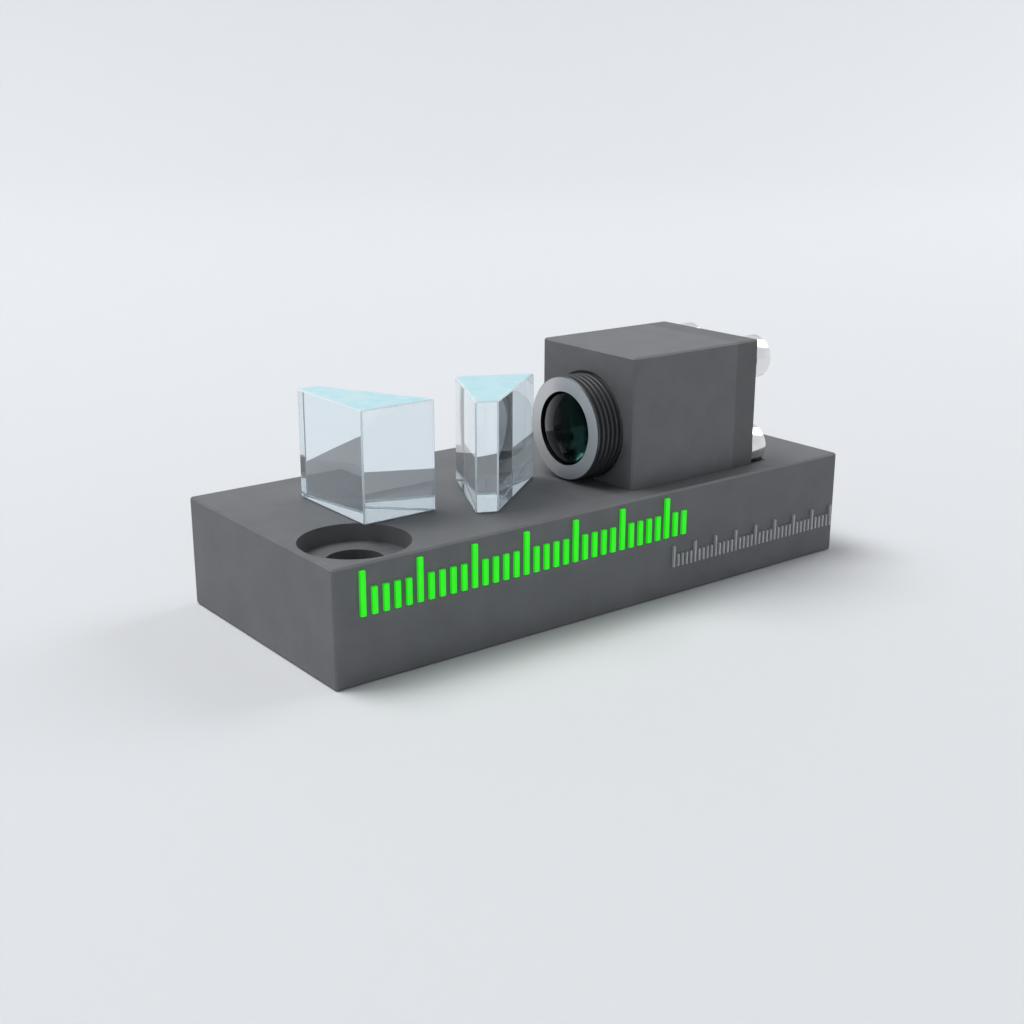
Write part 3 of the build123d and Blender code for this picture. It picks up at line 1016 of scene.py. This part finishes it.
# %% Finishes
FINISHES = {
    "base_plate": dark_anodised,
    "diode_housing": dark_anodised,
    "rear_plate": plate_anodised,
    "clamp_sleeve": sleeve_plastic,
    "diode_header": gold_plate,
    "diode_heat_post": gold_plate,
    "diode_submount": carrier_ceramic,
    "diode_chip": chip_crystal,
    "diode_cap": nickel_plate,
    "diode_window": window_glass,
    "diode_lead_anode": gold_plate,
    "diode_lead_cathode": gold_plate,
    "diode_lead_case": gold_plate,
    "lead_seal_anode": seal_glass,
    "lead_seal_cathode": seal_glass,
}
for node, finish in FINISHES.items():
    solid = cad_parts[node]
    solid.data.materials.clear()
    solid.data.materials.append(finish)
print(len(FINISHES), "solids finished")

# %% [markdown]
# ## The floor
#
# The module stands on pale paper that curves up all round like a bowl, so that every view has a plain
# background and the glass has something even to show. A flat plane would end in a horizon line, which
# the wedges would repeat in each of their faces. The bowl is spun on the same lathe.

# %% Floor
FLOOR_RADIUS = 450
BEND_RADIUS = 210
WALL_HEIGHT = 350
BEND_ROWS = 12


def bowl_outline():
    """Flat floor, a quarter-round bend and a wall."""
    bend = []
    for row in range(BEND_ROWS + 1):
        slope = pi / 2 * row / BEND_ROWS
        bend.append((BEND_RADIUS * (1 - cos(slope)), FLOOR_RADIUS + BEND_RADIUS * sin(slope), 0))
    return [(0, 0, 0)] + bend + [(WALL_HEIGHT, FLOOR_RADIUS + BEND_RADIUS, 0)]


floor_mesh = lathe("floor", bowl_outline())
shade(floor_mesh)
paper, paper_tree = new_material("studio_paper")
end_material(paper_tree, {"Base Color": linear("#dfe1e4"), "Roughness": 0.8})
floor_mesh.materials.append(paper)
floor = bpy.data.objects.new("floor", floor_mesh)
bpy.context.collection.objects.link(floor)
print("the bowl is", 2 * (FLOOR_RADIUS + BEND_RADIUS), "mm wide")

# %% [markdown]
# ## Light
#
# One large soft lamp hangs overhead, a little to the left and behind the module. It gives the top
# faces the most light, the left ends less and the front least, so that the blocks read as blocks. A
# small one beyond the rear screws puts a bright streak on them. A photographed sky could light
# everything at once, but it would be a file, and its reflections could not be placed one by one. The
# powers were set by the floor: it should come out about as pale as its colour says, and not burn out.

# %% Lamps


def soft_lamp(name, place, size, power, target=(0, 0, 8)):
    """A square lamp that faces a target, with places and size in millimetres and power in watts."""
    data = bpy.data.lights.new(name, "AREA")
    data.size = size * MM
    data.energy = power
    lamp = bpy.data.objects.new(name, data)
    lamp.location = Vector(place) * MM
    lamp.rotation_mode = "QUATERNION"
    lamp.rotation_quaternion = (Vector(target) - Vector(place)).to_track_quat("-Z", "Y")
    bpy.context.collection.objects.link(lamp)


soft_lamp("key", (-300, 350, 950), size=600, power=8.9)
soft_lamp("rim", (550, 0, 400), size=350, power=1.2)
print("lit by", len(bpy.data.lights), "lamps")

# %% [markdown]
# ## Sky
#
# Above the paper's edge a studio has a pale ceiling. Steel, glass and satin metal mirror it, so it has
# to be bright. But a bright sky would also light every side of the blocks, and they would lose their
# form. The Light Path node tells what sends a ray out, so the sky can be pale in mirrors, in glass and
# in the picture itself, and stay weak as a light.

# %% Sky
SKY_AS_LIGHT = 0.12
SKY_AS_SEEN = 0.9

world = bpy.data.worlds.new("studio")
bpy.context.scene.world = world
world.use_nodes = True
sky = world.node_tree
rays = add(sky, "ShaderNodeLightPath").outputs
mirrored = add(sky, "ShaderNodeMath", {
    0: rays["Is Camera Ray"], 1: rays["Is Glossy Ray"],
}, operation="MAXIMUM")
seen = add(sky, "ShaderNodeMath", {0: mirrored, 1: rays["Is Transmission Ray"]}, operation="MAXIMUM")
strength = add(sky, "ShaderNodeMapRange", {
    "Value": seen, "To Min": SKY_AS_LIGHT, "To Max": SKY_AS_SEEN,
})
background = sky.nodes["Background"]
background.inputs["Color"].default_value = linear("#e8ebf0")
sky.links.new(strength.outputs[0], background.inputs["Strength"])
print("mirrors see the sky", round(SKY_AS_SEEN / SKY_AS_LIGHT, 1), "times as bright as it lights")

# %% [markdown]
# ## Camera
#
# The camera stands to the front left and a little above, about 13 cm from the module, where someone
# would hold it to see the lens and both wedges. It could be placed by eye, but a small error in its
# distance shows as a wrong perspective. So its place, direction and focal length were worked out
# together, from the directions in which the edges of the base and the head run.

# %% Camera
CAMERA_PLACE = Vector((-74.94, -94.75, 43.18)) * MM
CAMERA_AZIMUTH = radians(-37.545)
CAMERA_ELEVATION = radians(17.17)
CAMERA_ROLL = radians(-0.12)
CAMERA_LENS = 50.22                 # focal length, for a sensor 36 mm wide

camera_data = bpy.data.cameras.new("camera")
camera_data.lens = CAMERA_LENS
camera_data.sensor_width = 36.0
camera_data.clip_start = 5 * MM
camera = bpy.data.objects.new("camera", camera_data)
bpy.context.collection.objects.link(camera)
level = cos(CAMERA_ELEVATION)
looking = Vector((-sin(CAMERA_AZIMUTH) * level, cos(CAMERA_AZIMUTH) * level, -sin(CAMERA_ELEVATION)))
roll = Matrix.Rotation(CAMERA_ROLL, 4, looking)
aim = looking.to_track_quat("-Z", "Y").to_matrix().to_4x4()
camera.matrix_world = Matrix.Translation(CAMERA_PLACE) @ roll @ aim
bpy.context.scene.camera = camera
bpy.context.scene.view_settings.view_transform = "Standard"
print("the camera is", round(CAMERA_PLACE.length / MM), "mm from the middle of the base")
